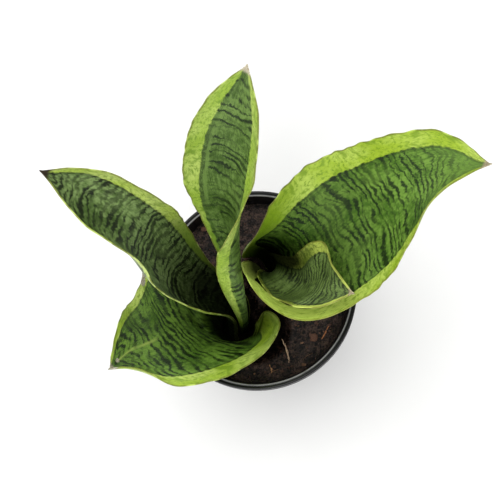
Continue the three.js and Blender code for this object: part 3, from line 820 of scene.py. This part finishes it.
def crumb(rng, centre, size, squash=1.0):
    """Rough little lump: vertices and faces around a centre in millimetres."""
    work = bmesh.new()
    bmesh.ops.create_icosphere(work, subdivisions=2 if size > 0.9 else 1, radius=1)
    offset = Vector([rng.uniform(-50, 50) for _ in range(3)])
    turn = Matrix.Rotation(rng.uniform(0, 6.28), 3, Vector([rng.uniform(-1, 1) for _ in range(3)]))
    stretch = Vector((rng.uniform(0.7, 1.5), rng.uniform(0.7, 1.1), rng.uniform(0.5, 0.9) * squash))
    points = []
    for vert in work.verts:
        n = vert.co.normalized()
        r = 1 + 0.42 * noise.noise(n * 1.7 + offset) + 0.18 * noise.noise(n * 4.1 + offset)
        points.append(centre + turn @ Vector([a * b * r * size for a, b in zip(n, stretch)]))
    faces = [tuple(v.index for v in f.verts) for f in work.faces]
    work.free()
    return points, faces


def tube(points, radius, sides=7):
    """Closed strand through millimetre points; radius is a list with one value per point."""
    vertices, faces = [], []
    for i, p in enumerate(points):
        ahead = points[min(i + 1, len(points) - 1)] - points[max(i - 1, 0)]
        ahead = ahead.normalized()
        beside = ahead.cross(Vector((0.1, 0.05, 1))).normalized()
        over = beside.cross(ahead)
        for k in range(sides):
            a = 2 * math.pi * k / sides
            vertices.append(p + (beside * math.cos(a) + over * math.sin(a)) * radius[i])
    for i in range(len(points) - 1):
        for k in range(sides):
            j = (k + 1) % sides
            faces.append((i * sides + k, i * sides + j, (i + 1) * sides + j, (i + 1) * sides + k))
    faces.append(tuple(reversed(range(sides))))
    faces.append(tuple(range((len(points) - 1) * sides, len(points) * sides)))
    return vertices, faces


class Heap:
    """Collects many small meshes into one, with a tint for each vertex."""

    def __init__(self):
        self.vertices, self.faces, self.tints = [], [], []

    def take(self, vertices, faces, tint):
        start = len(self.vertices)
        self.vertices.extend(tuple(v) for v in vertices)
        self.faces.extend(tuple(i + start for i in f) for f in faces)
        self.tints.extend([tint] * len(vertices))


def leaf_points(low, high, level=False):
    """Search tree of the leaves' points between two heights over the soil, laid flat on it if level."""
    tree_points = []
    for stations in STATIONS.values():
        t = np.linspace(0, 0.4, 90)
        points, _, _ = Sections(stations, t).sheet(np.repeat(np.linspace(-1, 1, 41)[None], 90, 0))
        flat = points.reshape(-1, 3)
        flat = flat[(flat[:, 2] > SOIL_LEVEL + low) & (flat[:, 2] < SOIL_LEVEL + high)]
        if level:
            flat[:, 2] = SOIL_LEVEL
        tree_points.append(flat)
    joined = np.concatenate(tree_points)
    tree = KDTree(len(joined))
    for i, p in enumerate(joined):
        tree.insert(p, i)
    tree.balance()
    return tree


def soil_shade(tree, place):
    """Shade on the soil, 0 to 1: beside the leaves and inside the rolled ones."""
    x, y, z = place
    if z < SOIL_LEVEL - 11:
        return 0.0
    shade = 0.97 - 0.97 * float(spread(1.5, 9, tree.find((x, y, SOIL_LEVEL))[2]))
    for centre, radius in SHEATHS:
        gap = math.hypot(x - centre[0], y - centre[1])
        shade = max(shade, 1 - float(spread(radius * 0.95, radius * 1.25, gap)))
    return shade


def build_soil():
    rng = random.Random(7)
    heap = Heap()
    rings, spokes = 92, 240
    vertices = [(0, 0, soil_height(0, 0))]
    for ring in range(1, rings + 1):
        for k in range(spokes):
            a = 2 * math.pi * k / spokes
            x, y = SOIL_RADIUS * ring / rings * math.cos(a), SOIL_RADIUS * ring / rings * math.sin(a)
            vertices.append((x, y, soil_height(x, y)))
    for k in range(spokes):
        a = 2 * math.pi * k / spokes
        vertices.append((SOIL_RADIUS * 0.99 * math.cos(a), SOIL_RADIUS * 0.99 * math.sin(a), SOIL_LEVEL - 12))
    faces = [(0, 1 + k, 1 + (k + 1) % spokes) for k in range(spokes)]
    for ring in range(rings):
        a, b = 1 + ring * spokes, 1 + (ring + 1) * spokes
        for k in range(spokes):
            j = (k + 1) % spokes
            faces.append((a + k, b + k, b + j, a + j))
    faces.append(tuple(reversed(range(1 + rings * spokes, 1 + (rings + 1) * spokes))))
    heap.take(vertices, faces, 0.35)
    tree = leaf_points(-6, 6)
    overhead = leaf_points(-6, 38, level=True)

    def free_place(reach):
        for _ in range(30):
            r, a = SOIL_RADIUS * math.sqrt(rng.random()) * 0.985, rng.uniform(0, 2 * math.pi)
            x, y = r * math.cos(a), r * math.sin(a)
            if r + reach > SOIL_RADIUS:
                continue
            z = soil_height(x, y)
            if tree.find((x, y, z))[2] > reach + 1.2:
                return x, y, z
        return None

    for _ in range(3000):
        size = 0.3 + 0.95 * rng.random() ** 3.4
        place = free_place(size * 1.5)
        if place is None:
            continue
        x, y, z = place
        points, crumb_faces = crumb(rng, Vector((x, y, z + size * 0.15)), size)
        heap.take(points, crumb_faces, rng.random() ** 2.2)
    for _ in range(110):
        length = rng.uniform(2.5, 8)
        place = free_place(length * 0.6)
        if place is None:
            continue
        x, y, z = place
        a, bend = rng.uniform(0, 2 * math.pi), rng.uniform(-0.7, 0.7)
        line = []
        for k in range(7):
            f = k / 6 - 0.5
            heading = a + bend * f
            px, py = x + length * f * math.cos(heading), y + length * f * math.sin(heading)
            line.append(Vector((px, py, max(z, soil_height(px, py)) + 0.35)))
        thick = rng.uniform(0.08, 0.2)
        points, strand_faces = tube(line, [thick * w for w in (0.3, 0.8, 1, 1, 0.9, 0.7, 0.25)], 5)
        heap.take(points, strand_faces, rng.uniform(0.7, 1.0))
    looks = [(tint, soil_shade(overhead, v), 0) for tint, v in zip(heap.tints, heap.vertices)]
    made = mesh_object("soil_detail", heap.vertices, heap.faces, soil_material(), (
        ("soil_look", "FLOAT_VECTOR", looks),
    ))
    made.data.polygons.foreach_set("use_smooth", [False] * len(made.data.polygons))
    return made


soil = build_soil()
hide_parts("potting_soil")
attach(soil, "root")


# ---- Litter on the soil ----
FIBRES = {
    "fibre_pale": ([[0.27, -0.53], [0.31, -0.62], [0.34, -0.73], [0.35, -0.79]], rgb(150, 118, 92), rgb(206, 178, 150)),
    "fibre_orange": ([[0.79, -0.38], [0.75, -0.46], [0.71, -0.53]], rgb(146, 84, 48), rgb(196, 132, 86)),
    "fibre_short": ([[0.13, -0.81], [0.15, -0.85], [0.16, -0.9]], rgb(140, 92, 60), rgb(190, 144, 104)),
}
CHIPS = {"bark_chip_back": 3, "bark_chip_right": 8}


def fibre_material(name, low, high):
    s = Shader(name)
    grain = s.noise(s.position(1.6), detail=4, roughness=0.7)
    broad = s.noise(s.position(0.25), detail=2)
    colour = s.mix(s.step(grain, 0.3, 0.7), low, high)
    colour = s.mix(s.step(broad, 0.55, 0.75, 0.0, 0.5), colour, rgb(60, 40, 30))
    s.set(Base_Color=colour, Roughness=s.step(grain, 0.3, 0.7, 0.7, 0.95))
    s.bump(grain, 0.0003, 0.8)
    return s.material


def smooth_line(places, count):
    """Points of a smooth curve through places, which are shares of the soil's radius."""
    t = np.linspace(0, 1, count)
    edge = SOIL_RADIUS - 0.3
    return stations_at([[u * edge, v * edge] for u, v in places], t)


for number, (name, (places, low, high)) in enumerate(FIBRES.items()):
    rng = random.Random(300 + number)
    heap = Heap()
    route = smooth_line(places, 28)
    lift = (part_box(name)[0].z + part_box(name)[1].z) / 2 / MM
    for strand in range(3):
        start, end = (0, 28) if strand == 0 else (rng.randint(0, 8), rng.randint(17, 27))
        aside = 0 if strand == 0 else rng.uniform(-0.45, 0.45)
        line, thick = [], []
        for k in range(start, end):
            f = (k - start) / (end - start - 1)
            x, y = route[k]
            wobble = 0.16 * math.sin(k * 0.9 + strand * 2)
            z = max(float(soil_top(x, y)) + 1.1, lift - 0.4) + 0.2 * math.sin(k * 0.5)
            line.append(Vector((x + aside + wobble, y + aside * 0.5, z + 0.1 * strand)))
            thick.append((0.34 if strand == 0 else 0.16) * (0.35 + 0.65 * math.sin(math.pi * (0.12 + 0.76 * f))))
        heap.take(*tube(line, thick, 9), 0)
    fibre = mesh_object(name + "_detail", heap.vertices, heap.faces, fibre_material(name + "_bast", low, high))
    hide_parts(name)
    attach(fibre, "root")

for name, seed in CHIPS.items():
    low_corner, high_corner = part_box(name)
    centre = (low_corner + high_corner) / 2 / MM
    size = (high_corner - low_corner) / MM
    work = bmesh.new()
    bmesh.ops.create_icosphere(work, subdivisions=4, radius=1)
    offset = Vector((seed * 3.1, seed * 1.7, seed))
    for vert in work.verts:
        n = vert.co.normalized()
        slab = Vector([math.copysign(abs(c) ** 0.55, c) for c in n])
        layers = 0.08 * math.sin(slab.z * 9 + 2 * noise.noise(n * 2 + offset))
        r = 0.8 + 0.22 * noise.noise(n * 1.6 + offset) + 0.1 * noise.noise(n * 5 + offset) + layers
        vert.co = centre + Vector((slab.x * size.x, slab.y * size.y, slab.z * size.z)) * 0.5 * r
    chip_vertices = [v.co.copy() for v in work.verts]
    chip_faces = [tuple(v.index for v in f.verts) for f in work.faces]
    work.free()
    chip = mesh_object(name + "_detail", chip_vertices, chip_faces,
                       fibre_material(name + "_cork", rgb(54, 32, 23), rgb(104, 68, 48)))
    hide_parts(name)
    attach(chip, "root")


# ---- Stage, light and camera ----
def floor_material():
    s = Shader("floor_paper")
    tooth = s.noise(s.position(0.02), detail=4)
    s.set(Base_Color=s.mix(tooth, rgb(243, 243, 242), rgb(248, 248, 247)), Roughness=0.85)
    return s.material


bpy.ops.mesh.primitive_circle_add(vertices=96, radius=6, fill_type="NGON", location=(0, 0, 0))
floor = bpy.context.object
floor.name = "floor"
floor.data.materials.append(floor_material())

world = bpy.data.worlds.new("studio")
bpy.context.scene.world = world
world.use_nodes = True
background = world.node_tree.nodes["Background"]
background.inputs["Color"].default_value = (1.0, 1.0, 1.0, 1.0)
background.inputs["Strength"].default_value = 0.72


def area_light(name, place, target, width, power):
    data = bpy.data.lights.new(name, "AREA")
    data.shape = "DISK"
    data.size = width
    data.energy = power
    made = bpy.data.objects.new(name, data)
    made.location = place
    made.rotation_euler = (Vector(target) - Vector(place)).to_track_quat("-Z", "Y").to_euler()
    bpy.context.scene.collection.objects.link(made)


area_light("key", (-0.3, 0.35, 1.6), (0, 0, 0.15), 1.3, 14)
area_light("fill", (-0.1, -1.0, 1.0), (0, 0, 0.15), 1.2, 7)

# The camera looks down at the rim's centre, tilted from the vertical and turned a little.
CAMERA_DISTANCE = 0.8
CAMERA_TILT = math.radians(10)
CAMERA_TURN = math.radians(19)
CAMERA_SIDE_STEP = -0.0038
CAMERA_UP_STEP = 0.0234
CAMERA_LENS = 96.4

tilt = math.sin(CAMERA_TILT)
back = Vector((math.sin(CAMERA_TURN) * tilt, -math.cos(CAMERA_TURN) * tilt, math.cos(CAMERA_TILT)))
right = (-back).cross(Vector((0, 1, 0))).normalized()
up = right.cross(-back)
camera_data = bpy.data.cameras.new("camera")
camera_data.lens = CAMERA_LENS
camera_data.sensor_width = 36
camera_data.clip_end = 20
camera = bpy.data.objects.new("camera", camera_data)
place = Vector((0, 0, RIM_HEIGHT)) + back * CAMERA_DISTANCE + right * CAMERA_SIDE_STEP + up * CAMERA_UP_STEP
turn = Matrix((right, up, back)).transposed().to_4x4()
camera.matrix_world = Matrix.Translation(place) @ turn
bpy.context.scene.collection.objects.link(camera)
bpy.context.scene.camera = camera
bpy.context.scene.view_settings.view_transform = "Standard"
